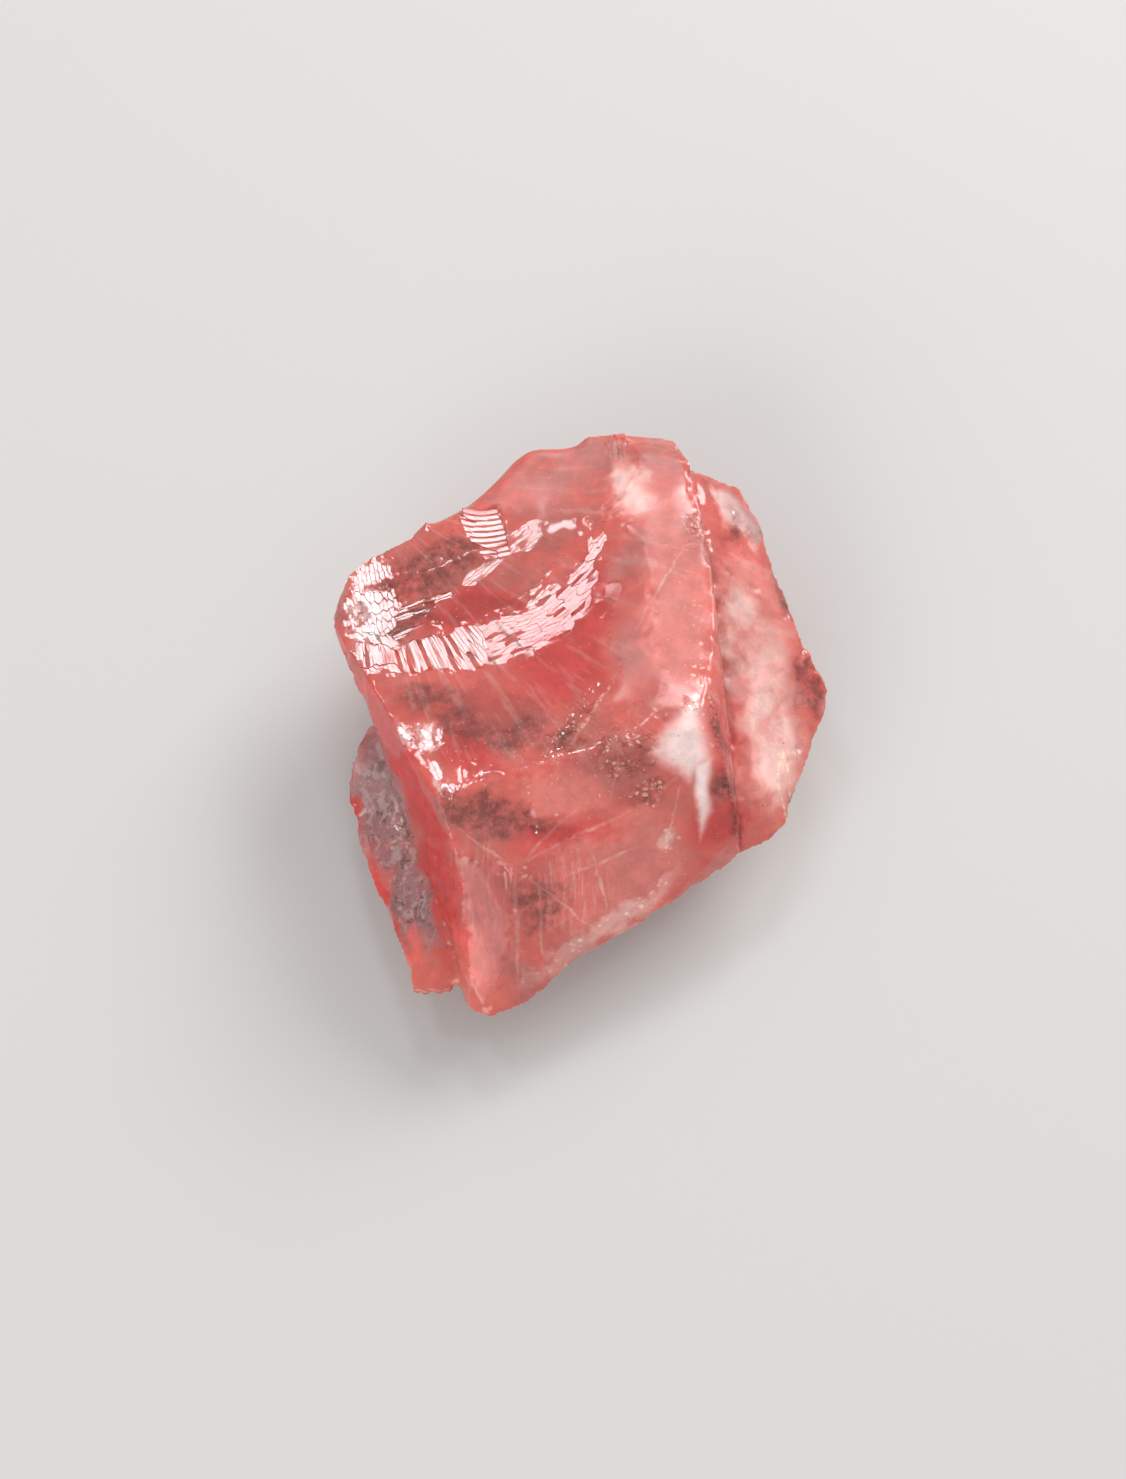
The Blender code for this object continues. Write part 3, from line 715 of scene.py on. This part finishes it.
# Zones of colour and finish: centre, half sizes and turn about z of a soft ellipsoid.
ZONES = {
    "smoke": [
        ((-13.2, 13.4, 14.0), (5.6, 2.6, 5.0), 22.0),
        ((-16.6, 8.0, 14.0), (3.6, 1.4, 5.0), 20.0),
        ((-11.0, -1.6, 15.0), (3.6, 1.8, 5.0), -40.0),
        ((-6.2, -2.8, 16.0), (3.6, 1.6, 5.0), 20.0),
        ((-13.6, 1.0, 15.0), (2.4, 1.6, 5.0), 0.0),
        ((-9.0, -9.8, 16.0), (3.8, 2.0, 5.0), -15.0),
        ((-4.6, -10.6, 16.0), (3.4, 1.4, 4.0), -10.0),
        ((-3.6, -17.0, 13.0), (2.6, 2.4, 5.0), 0.0),
        ((-1.4, -3.8, 17.0), (2.6, 1.2, 4.0), 25.0),
        ((13.0, -6.4, 15.0), (0.8, 6.0, 6.0), 12.0),
        ((19.6, 11.0, 11.0), (1.0, 4.0, 5.0), 22.0),
        ((21.0, 3.6, 9.0), (1.2, 3.4, 5.0), 20.0),
        ((14.6, 17.4, 13.0), (2.4, 0.8, 4.0), 20.0),
    ],
    "shelf": [
        ((-18.2, -6.0, 5.0), (2.6, 7.0, 6.0), 8.0),
        ((-15.6, -15.0, 5.0), (2.0, 6.0, 6.0), 12.0),
    ],
    "milk": [
        ((17.2, 0.2, 11.0), (2.9, 8.6, 7.0), 8.0),
        ((14.2, 8.6, 13.0), (1.6, 4.0, 5.0), 0.0),
        ((14.0, 19.0, 13.0), (1.2, 3.4, 5.0), 35.0),
        ((4.6, 20.4, 16.0), (1.7, 2.8, 5.0), 10.0),
        # This small spot is partly a painted sparkle on a chip.
        ((7.6, -11.4, 14.0), (1.0, 0.5, 2.0), 20.0),
    ],
    "red": [
        ((-1.6, 4.4, 15.0), (5.0, 5.4, 6.0), 20.0),
        ((0.6, 9.6, 15.0), (3.0, 4.6, 6.0), 0.0),
        ((-9.6, 9.4, 14.0), (5.4, 2.2, 5.0), 15.0),
        ((-10.0, -4.6, 16.0), (3.0, 1.8, 5.0), -40.0),
        ((-15.4, -5.4, 14.0), (1.6, 7.6, 6.0), 22.0),
        ((-13.2, -14.4, 12.0), (1.3, 8.0, 8.0), 10.0),
        ((12.6, -2.0, 14.0), (1.3, 5.0, 6.0), 0.0),
        ((12.4, -10.0, 13.0), (3.2, 2.4, 5.0), 30.0),
        ((-2.0, -11.6, 15.0), (4.6, 1.0, 4.0), 12.0),
    ],
    "dusty": [
        ((-2.0, -7.8, 17.0), (4.0, 1.8, 3.0), 0.0),
        ((3.0, -14.0, 12.0), (7.0, 4.6, 7.0), 38.0),
        ((8.4, 8.0, 17.0), (2.8, 9.0, 5.0), 5.0),
        ((15.4, 10.0, 12.0), (3.0, 6.0, 6.0), 20.0),
        ((-9.8, -20.8, 10.0), (1.8, 2.6, 4.0), 0.0),
    ],
    "tip": [
        ((-9.6, -24.4, 8.0), (3.6, 2.2, 5.0), 10.0),
        ((-14.8, -21.4, 6.0), (2.0, 3.0, 5.0), 10.0),
    ],
    # Painted highlight: the glare of the corner and crest glints, laid as a paler colour.
    "painted_glare": [
        ((-19.3, 9.6, 13.5), (1.6, 4.2, 4.0), 8.0),
        ((-14.5, -2.9, 16.0), (1.7, 1.1, 3.0), -35.0),
        ((-12.0, -7.4, 17.6), (1.0, 0.6, 2.0), -60.0),
    ],
    "dusk": [
        ((-8.4, -0.6, 16.0), (5.4, 2.8, 5.0), -8.0),
        ((-13.6, 0.6, 15.0), (3.0, 1.8, 5.0), 10.0),
        ((-9.0, 9.6, 14.0), (4.6, 1.0, 4.0), 12.0),
    ],
    "near": [
        ((-8.6, -16.4, 12.5), (2.8, 6.6, 8.0), 8.0),
        ((-1.6, -16.0, 13.0), (3.8, 3.4, 5.0), 20.0),
    ],
    # Painted glow along the thin edges.
    "painted_glow": [
        ((-12.2, -13.0, 12.0), (1.2, 9.0, 9.0), 14.0),
        ((-16.6, -3.4, 14.0), (1.0, 8.6, 6.0), 26.0),
        ((-21.6, 5.0, 12.0), (0.8, 4.0, 6.0), 18.0),
        ((-21.6, -6.6, 5.0), (0.9, 7.0, 5.0), 6.0),
        ((-18.0, -18.0, 5.0), (0.8, 6.0, 5.0), 16.0),
    ],
    "ash": [
        ((14.4, 19.4, 12.5), (1.4, 2.8, 5.0), 40.0),
        ((-18.4, -6.0, 6.0), (2.4, 6.4, 6.0), 8.0),
        ((-15.4, -15.6, 6.0), (1.7, 5.6, 6.0), 14.0),
    ],
    # Where the bright dots of painted sparkle lie.
    "sparkle_zone": [
        ((-6.0, -5.0, 16.0), (9.0, 4.6, 6.0), 10.0),
        ((4.0, -5.6, 17.0), (5.0, 3.6, 5.0), 20.0),
        ((8.8, 4.0, 18.0), (2.0, 9.0, 5.0), 4.0),
        ((-17.0, -9.0, 6.0), (2.4, 7.0, 5.0), 14.0),
    ],
    "satin": [
        ((7.0, 9.0, 17.0), (5.4, 12.0, 7.0), -4.0),
        ((-2.0, 22.6, 14.0), (10.0, 4.0, 6.0), 10.0),
        ((3.0, 23.0, 15.0), (8.0, 6.0, 6.0), 0.0),
        ((16.0, 2.0, 11.0), (5.0, 16.0, 9.0), 4.0),
        ((-18.6, -3.4, 6.0), (2.6, 4.6, 4.0), 8.0),
        ((-9.0, -18.0, 11.0), (2.8, 7.4, 7.0), 8.0),
    ],
    # Painted sparkle: the chips take pale flakes that stand in for their tiny highlights.
    "chips": [
        ((7.8, -11.2, 14.0), (1.3, 0.8, 2.0), 20.0),
        ((-0.6, -9.3, 16.7), (1.2, 0.5, 2.0), 25.0),
        ((-5.6, -14.3, 15.5), (1.3, 0.5, 2.0), 0.0),
        ((10.2, 16.6, 16.6), (1.2, 0.9, 2.0), -60.0),
        ((-10.4, -23.4, 8.0), (0.8, 0.6, 2.0), 0.0),
        ((10.4, 2.0, 18.0), (0.6, 7.0, 4.0), 2.0),
        ((1.6, -19.4, 9.5), (3.6, 1.0, 3.0), 32.0),
        ((-16.8, -9.0, 6.0), (1.0, 4.6, 4.0), 20.0),
    ],
    "bevel": [
        ((2.0, -18.9, 9.5), (8.6, 1.1, 4.0), 33.0),
    ],
    "crust": [
        ((3.7, -4.6, 18.0), (2.6, 1.8, 4.0), 0.0),
        ((-0.6, -2.4, 17.0), (2.6, 0.9, 4.0), 58.0),
        ((5.6, -8.0, 17.0), (1.6, 1.2, 4.0), 0.0),
    ],
}
# Pale lines: healed cracks, and painted highlights along the ridges between the near facets. Two ends
# and a half width.
CRACKS_AND_RIDGE_HIGHLIGHTS = [
    ((-5.6, -14.0), (-0.6, -9.4), 0.10),
    ((-5.6, -14.0), (5.0, -9.0), 0.09),
    ((5.0, -9.0), (9.6, -5.8), 0.12),
    ((-5.8, -14.4), (-5.6, -24.0), 0.14),
    ((-3.8, -14.6), (-3.4, -22.0), 0.10),
    ((0.8, -12.6), (2.4, -17.6), 0.08),
    ((9.4, 15.0), (4.4, 6.0), 0.08),
    ((2.4, -9.0), (4.4, 0.0), 0.07),
    ((7.4, -12.0), (9.2, -5.0), 0.08),
    ((-11.6, -10.6), (-5.8, -14.4), 0.09),
    ((-5.0, -25.0), (9.0, -15.6), 0.12),
    ((-3.4, -25.0), (10.0, -16.0), 0.10),
    ((-5.8, -14.4), (2.6, -19.6), 0.08),
    ((-1.6, -15.0), (4.6, -12.2), 0.09),
]
# The brightest of them, a cream line along the low ridge, is a painted highlight.
RIDGE_HIGHLIGHTS = [
    ((2.9, 2.4), (-0.9, -3.9), 0.13),
]
# Painted shade: dark lines in the crease where the wall meets the terrace.
CREASE_SHADE_LINES = [
    ((11.2, 0.6), (12.0, -4.8), 0.30),
    ((12.0, -4.8), (14.4, -11.4), 0.24),
]
# Dark fissures across the bright arc.
FISSURES = [
    ((-8.6, 9.1), (-2.9, 3.1), 0.10),
    ((-7.6, 9.1), (-2.6, 3.7), 0.05),
    ((-10.5, 8.1), (-6.8, 2.7), 0.08),
    ((-10.1, 7.5), (-7.9, 3.9), 0.05),
    ((-11.3, 6.8), (-9.7, 3.8), 0.06),
    ((-12.3, 6.2), (-10.8, 3.5), 0.05),
    ((-13.3, 5.8), (-11.9, 3.1), 0.06),
    ((-14.1, 5.6), (-12.8, 3.3), 0.05),
]
# A faint cream loop near the right rim: its middle, half sizes and turn.
LOOP = ((18.4, -5.6, 9.5), (0.62, 2.6, 5.0), 8.0)
# The sharp white veil under the right ridge, milky and partly a painted reflection: its corners,
# counter-clockwise.
VEIL_AND_SHEEN = [(9.9, 0.2), (6.1, -4.6), (9.4, -6.6), (10.9, -5.0)]
VEIL_AND_SHEEN_TAIL = [(9.7, -5.4), (10.6, -10.6), (11.3, -9.0), (11.1, -5.0)]


class Shader:
    """Short calls for the nodes of one material."""

    def __init__(self, name):
        self.material = bpy.data.materials.new(name)
        self.material.use_nodes = True
        self.tree = self.material.node_tree
        self.main = self.tree.nodes["Principled BSDF"]
        self.output = self.tree.nodes["Material Output"]

    def set(self, socket, value):
        if isinstance(value, bpy.types.NodeSocket):
            self.tree.links.new(value, socket)
        else:
            socket.default_value = value

    def node(self, kind, values, **settings):
        made = self.tree.nodes.new(kind)
        for key, value in settings.items():
            setattr(made, key, value)
        for key, value in values.items():
            self.set(made.inputs[key], value)
        return made

    def math(self, operation, a, b=0.0):
        return self.node("ShaderNodeMath", {0: a, 1: b}, operation=operation).outputs[0]

    def both(self, a, b):
        return self.math("MULTIPLY", a, b)

    def either(self, a, b):
        return self.math("MAXIMUM", a, b)

    def vector(self, operation, a, b=(0.0, 0.0, 0.0), scale=1.0):
        made = self.node("ShaderNodeVectorMath", {0: a, 1: b, 3: scale}, operation=operation)
        return made.outputs["Value" if operation in {"LENGTH", "DOT_PRODUCT"} else "Vector"]

    def ramp(self, value, low, high, to_low=0.0, to_high=1.0):
        values = {"Value": value, "From Min": low, "From Max": high}
        values |= {"To Min": to_low, "To Max": to_high}
        made = self.node("ShaderNodeMapRange", values, interpolation_type="SMOOTHSTEP")
        return made.outputs["Result"]

    def limited(self, name, value):
        """The mask of that name in LIMITS, cut from a value."""
        return self.ramp(value, *LIMITS[name])

    def noise(self, name, where, output="Fac"):
        scale, detail, roughness = NOISES[name]
        values = {"Vector": where, "Scale": scale, "Detail": detail, "Roughness": roughness}
        return self.node("ShaderNodeTexNoise", values).outputs[output]

    def cells(self, where, scale):
        """How far each point is from the middle of its cell, and the colour of that cell."""
        made = self.node("ShaderNodeTexVoronoi", {"Vector": where, "Scale": scale})
        return made.outputs["Distance"], made.outputs["Color"]

    def red_of(self, colour):
        return self.node("ShaderNodeSeparateColor", {0: colour}).outputs[0]

    def mix(self, share, a, b):
        made = self.node("ShaderNodeMix", {0: share, 6: a, 7: b}, data_type="RGBA")
        return made.outputs[2]

    def stretched(self, where, scale=(1.0, 1.0, 1.0)):
        return self.node("ShaderNodeMapping", {"Vector": where, "Scale": scale}).outputs[0]

    def depth(self, where, centre, size, turn):
        """1 at the middle of an ellipsoid, falling evenly to 0 at REACH times its half sizes.

        Mapping and gradient nodes join without a conversion, so Cycles runs them in the order
        they're made and keeps few values at a time."""
        turned = (0.0, 0.0, math.radians(turn))
        reach = [REACH * side for side in size]
        values = {"Vector": where, "Location": centre, "Rotation": turned, "Scale": reach}
        local = self.node("ShaderNodeMapping", values, vector_type="TEXTURE").outputs[0]
        made = self.node("ShaderNodeTexGradient", {"Vector": local}, gradient_type="SPHERICAL")
        return made.outputs["Fac"]

    def zones(self, where, ellipsoids):
        """1 in the middle of soft ellipsoids, 0 outside them."""
        total = 0.0
        for ellipsoid in ellipsoids:
            total = self.either(self.depth(where, *ellipsoid), total)
        return self.limited("zone", total)

    def lines(self, where, cracks):
        """1 along straight lines seen from above, 0 beside them."""
        thin = []
        for start, end, width in cracks:
            centre = ((start[0] + end[0]) / 2, (start[1] + end[1]) / 2, 0.0)
            turn = math.degrees(math.atan2(end[1] - start[1], end[0] - start[0]))
            size = (math.dist(start, end) / 2, LINE_WIDTH * width, LINE_HEIGHT)
            thin.append((centre, size, turn))
        return self.zones(where, thin)

    def loop(self, where, centre, size, turn):
        """1 on the outline of an ellipse seen from above, 0 off it."""
        off = self.math("SUBTRACT", self.depth(where, centre, size, turn), 1.0 - 1.0 / REACH)
        return self.limited("loop", self.math("ABSOLUTE", off))

    def panel(self, where, corners, soft):
        """1 inside a convex outline seen from above, 0 outside it."""
        inside = None
        for a, b in zip(corners, corners[1:] + corners[:1]):
            inward = Vector((a[1] - b[1], b[0] - a[0], 0.0)).normalized()
            depth = self.vector("DOT_PRODUCT", where, tuple(inward))
            depth = self.math("SUBTRACT", depth, inward.dot(Vector((*a, 0.0))))
            inside = depth if inside is None else self.math("MINIMUM", inside, depth)
        return self.ramp(inside, -soft, soft)

    def rays(self, where, blow):
        """Noise in fine lines that run out from a blow."""
        away = self.vector("SUBTRACT", where, (*blow, 0.0))
        parts = self.node("ShaderNodeSeparateXYZ", {0: away}).outputs
        bearing = self.math("ARCTAN2", parts[1], parts[0])
        r = self.vector("LENGTH", self.vector("MULTIPLY", away, (1.0, 1.0, 0.0)))
        values = {0: self.both(bearing, RAYS_ROUND), 1: self.both(r, RAYS_OUT)}
        return self.noise("rays", self.node("ShaderNodeCombineXYZ", values).outputs[0])


class Stone(Shader):
    """The stone's material, laid coat by coat."""

    def __init__(self):
        super().__init__("rhodochrosite")
        place = self.node("ShaderNodeTexCoord", {}).outputs["Object"]
        self.place = self.stretched(place, (1 / MM, 1 / MM, 1 / MM))
        drift = self.noise("drift", self.place, "Color")
        drift = self.vector("SUBTRACT", drift, (0.5, 0.5, 0.5))
        # The mapping after each sum makes it a place, so what follows needs no conversion.
        far = self.vector("SCALE", drift, scale=WARP)
        self.warped = self.stretched(self.vector("ADD", self.place, far))
        self.slight = self.stretched(self.vector("ADD", self.place, drift))
        self.sides = self.node("ShaderNodeSeparateXYZ", {0: self.place}).outputs
        self.far_rays = self.rays(self.place, HACKLE_SOURCE)

    def zone(self, name):
        return self.zones(self.warped, ZONES[name])

    def lay(self, name, mask):
        """Lays the coat of that name where its mask is."""
        tint, share = COATS[name]
        self.colour = self.mix(self.both(mask, share), self.colour, tint)

    def lay_body(self):
        """The clouded coral of the body and its broad red, dusty and dusky zones."""
        cloud = self.noise("cloud", self.place)
        self.colour = self.mix(self.limited("cloud", cloud), CORAL, DUSTY)
        self.dusty = self.zone("dusty")
        self.lay("dusty", self.dusty)
        self.near = self.zone("near")
        self.lay("near", self.near)
        self.lay("red", self.zone("red"))
        self.lay("dusk", self.zone("dusk"))

    def lay_patches(self):
        """Milky and smoky patches, the purple-grey shelf and the brighter edges, a painted glow of
        light shining through them.
        """
        puffs = self.limited("puffs", self.noise("puffs", self.warped))
        self.milk = self.both(self.zone("milk"), puffs)
        self.lay("milk", self.milk)
        speckle = self.noise("speckle", self.place)
        self.mottle = self.limited("mottle", speckle)
        self.ragged = self.limited("ragged", speckle)
        self.smoke = self.both(self.zone("smoke"), self.mottle)
        self.lay("smoke", self.smoke)
        self.lay("ash", self.zone("ash"))
        self.shelf = self.zone("shelf")
        self.lay("shelf", self.shelf)
        self.lay("shelf_spots", self.both(self.shelf, self.limited("shelf_spots", speckle)))
        wisps = self.noise("wisps", self.stretched(self.warped, WISP_FINER))
        self.lay("shelf_wisps", self.both(self.shelf, self.limited("shelf_wisps", wisps)))
        self.lay("tip", self.zone("tip"))
        # Painted glow of light through the thin edges.
        self.lay("painted_glow", self.zone("painted_glow"))

    def lay_lines(self):
        """The veil, partly a painted reflection; the cracks, partly painted highlights on ridges;
        painted glare on the corner and crest; a painted highlight on the low ridge; painted shade in
        the crease under the wall; and the fissures.
        """
        # A milky patch with a painted reflection over it.
        veil_and_sheen = self.panel(self.slight, VEIL_AND_SHEEN, VEIL_AND_SHEEN_SOFT)
        self.veil_and_sheen = self.either(veil_and_sheen, self.panel(self.slight, VEIL_AND_SHEEN_TAIL, TAIL_SOFT))
        self.lay("veil_and_sheen", self.veil_and_sheen)
        # Pale cracks, partly painted highlights along ridges.
        self.lay("cracks", self.both(self.lines(self.slight, CRACKS_AND_RIDGE_HIGHLIGHTS), self.mottle))
        # Painted glare on the corner and crest glints.
        self.lay("painted_glare", self.both(self.zone("painted_glare"), self.ragged))
        self.grain = self.noise("grain", self.place)
        self.broken = self.limited("broken", self.grain)
        # Painted highlight on the low ridge.
        self.lay("ridge_highlight", self.both(self.lines(self.slight, RIDGE_HIGHLIGHTS), self.broken))
        # Painted shade in the crease under the wall.
        self.lay("painted_crease_shade", self.both(self.lines(self.slight, CREASE_SHADE_LINES), self.broken))
        self.lay("loop", self.both(self.loop(self.slight, *LOOP), self.broken))
        self.fissures = self.both(self.lines(self.slight, FISSURES), self.mottle)
        self.lay("fissures", self.fissures)

    def lay_crust(self):
        """The crumbly crust by the ridge, the milky bevel, and pale flakes on both and on chips, the
        flakes partly painted sparkle.
        """
        crust = self.both(self.zone("crust"), self.ragged)
        self.lay("crust", crust)
        self.lay("crust_spots", self.both(crust, self.limited("crust_spots", self.grain)))
        bevel = self.zone("bevel")
        self.lay("bevel", bevel)
        away, tint = self.cells(self.stretched(self.slight, FLAKE_FINER), FLAKE_CELLS)
        flake = self.limited("flake", away)
        kept = self.red_of(tint)
        flake = self.both(flake, self.limited("flake_kept", kept))
        flake = self.both(flake, self.limited("flake_grain", self.grain))
        flaky_or_sparkly = self.either(self.either(crust, bevel), self.zone("chips"))
        # Pale flakes, partly painted sparkle.
        self.lay("flakes_and_sparkle", self.both(flaky_or_sparkly, flake))

    def lay_specks(self):
        """Pale scratches all over, bright dots of painted sparkle in their zones and a few dark dots.
        """
        away, tint = self.cells(self.stretched(self.slight, SCRATCH_FINER), SCRATCH_CELLS)
        kept = self.red_of(tint)
        scratch = self.limited("scratch", away)
        scratch = self.both(scratch, self.limited("scratch_kept", kept))
        self.lay("scratches", self.both(scratch, self.broken))
        away, tint = self.cells(self.place, DOT_CELLS)
        dot = self.limited("dot", away)
        chance = self.red_of(tint)
        # Bright dots of painted sparkle.
        bright = self.both(dot, self.limited("painted_sparkle_dots", chance))
        self.lay("painted_sparkle_dots", self.both(bright, self.zone("sparkle_zone")))
        self.lay("dark_dots", self.both(dot, self.limited("dark_dots", chance)))

    def lay_rays(self):
        """Milky streaks on the near face, faint rays in the hollow, and grit over all."""
        streaks = self.noise("streaks", self.stretched(self.slight, STREAK_FINER))
        self.lay("streaks", self.both(self.limited("streaks", streaks), self.near))
        fans = self.limited("fans", self.far_rays)
        self.lay("fans", self.both(fans, self.limited("fans_far", self.sides[1])))
        grit = self.ramp(self.noise("grit", self.place), *GRIT)
        self.colour = self.vector("SCALE", self.colour, scale=grit)

    def finish(self):
        """How clear, rough and bumpy the stone is, and what it scatters and absorbs."""
        dark = self.either(self.smoke, self.both(self.shelf, SHELF_SMOKE))
        pale = self.either(self.either(self.milk, self.veil_and_sheen), self.dusty)
        clear = self.ramp(self.math("SUBTRACT", dark, pale), -1.0, 1.0, *TRANSMISSION)
        self.set(self.main.inputs["Base Color"], self.colour)
        self.set(self.main.inputs["Transmission Weight"], clear)
        soft = self.either(self.fissures, self.zone("satin"))
        self.set(self.main.inputs["Roughness"], self.ramp(soft, 0.0, 1.0, *ROUGHNESS))
        self.set(self.main.inputs["IOR"], IOR)
        self.set(self.main.inputs["Subsurface Weight"], 1.0)
        self.set(self.main.inputs["Subsurface Radius"], SCATTER_RADIUS)
        self.set(self.main.inputs["Subsurface Scale"], SCATTER_DEPTH)

        relief = self.math("ADD", self.far_rays, self.both(self.grain, BUMP_GRAIN))
        values = {"Strength": BUMP_STRENGTH, "Distance": BUMP_DEPTH, "Height": relief}
        bump = self.node("ShaderNodeBump", values)
        self.set(self.main.inputs["Normal"], bump.outputs[0])
        values = {"Color": ABSORB_COLOUR, "Density": ABSORB_DENSITY}
        absorb = self.node("ShaderNodeVolumeAbsorption", values)
        self.set(self.output.inputs["Volume"], absorb.outputs[0])


def stone_material():
    """The coats in their order. Cycles runs the nodes in the order they're made: see depth."""
    stone = Stone()
    stone.lay_body()
    stone.lay_patches()
    stone.lay_lines()
    stone.lay_crust()
    stone.lay_specks()
    stone.lay_rays()
    stone.finish()
    return stone.material


# --- the stage --------------------------------------------------------------------------------
def add(name, data):
    made = bpy.data.objects.new(name, data)
    bpy.context.scene.collection.objects.link(made)
    return made


def look(thing, at):
    thing.rotation_euler = (thing.location - at).to_track_quat("Z", "Y").to_euler()


def make_camera():
    lens = bpy.data.cameras.new("camera")
    lens.sensor_fit = "VERTICAL"
    lens.sensor_height = 36.0
    lens.lens = lens.sensor_height * FOCAL / PHOTO_HEIGHT
    lens.clip_start = 0.001
    camera = add("camera", lens)
    camera.location = CAMERA * MM
    look(camera, TARGET * MM)
    bpy.context.scene.camera = camera


def make_floor():
    mesh = bpy.data.meshes.new("floor")
    side = FLOOR_HALF * MM
    corners = [(-side, -side, 0), (side, -side, 0), (side, side, 0), (-side, side, 0)]
    mesh.from_pydata(corners, [], [(0, 1, 2, 3)])
    floor = add("floor", mesh)
    floor.location.z = -FLOOR_DROP * MM
    shader = Shader("floor")
    shader.set(shader.main.inputs["Base Color"], FLOOR_COLOUR)
    shader.set(shader.main.inputs["Roughness"], FLOOR_ROUGHNESS)
    mesh.materials.append(shader.material)


def make_light(name, place, size, radiance):
    """A soft box, placed in millimetres, that looks at the stone."""
    light = bpy.data.lights.new(name, "AREA")
    light.shape = "RECTANGLE"
    light.size, light.size_y = (side * MM for side in size)
    light.color = WINDOW_COLOUR if name in WINDOWS else (1.0, 1.0, 1.0)
    light.energy = radiance * math.pi * light.size * light.size_y
    lamp = add(name, light)
    lamp.location = Vector(place) * MM
    look(lamp, Vector((0.0, 0.0, TARGET.z * MM)))


def make_windows():
    for name, (_, spread, radiance) in WINDOWS.items():
        size = [2.0 * WINDOW_AWAY * math.tan(math.radians(half)) for half in spread]
        make_light(name, window_place(name), size, radiance)


def make_world():
    world = bpy.data.worlds.new("studio")
    world.use_nodes = True
    background = world.node_tree.nodes["Background"]
    background.inputs["Color"].default_value = WORLD_COLOUR
    background.inputs["Strength"].default_value = WORLD_STRENGTH
    bpy.context.scene.world = world


skin = make_skin()
skin.data.materials.clear()
skin.data.materials.append(stone_material())
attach(skin, "root")
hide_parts(NODE)
make_camera()
make_floor()
make_windows()
make_light("key", *KEY)
make_light("fill", *FILL)
make_world()
bpy.context.scene.view_settings.view_transform = "Standard"
